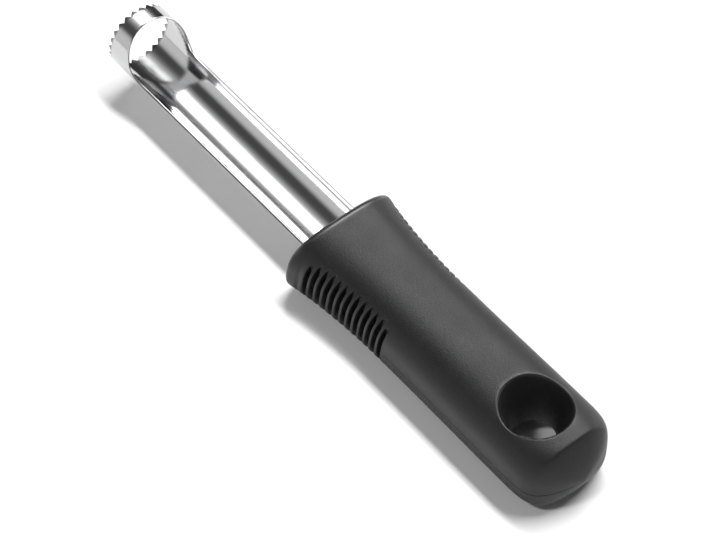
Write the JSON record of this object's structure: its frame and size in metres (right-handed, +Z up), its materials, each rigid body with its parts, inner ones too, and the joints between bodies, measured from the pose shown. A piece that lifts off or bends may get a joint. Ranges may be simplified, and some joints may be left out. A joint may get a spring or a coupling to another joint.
{
  "type": "apple corer",
  "caption": "Hand corer: a serrated steel ring runs on as an open trough into a soft flared handle with finned sides and a tapered hang hole.",
  "frame": {"origin": "middle of the part's box, on the flat that the handle lies on", "axes": "+X along the tube towards the teeth, +Z up through the open side of the trough"},
  "size_m": [0.2023, 0.0374, 0.029],
  "materials": {
    "steel": "polished stainless sheet",
    "core_plastic": "moulded black plastic",
    "grip_rubber": "matte soft-touch black"
  },
  "bodies": {
    "root": {"corer_tube": "steel", "handle_core": "core_plastic", "soft_grip": "grip_rubber"}
  },
  "joints": []
}
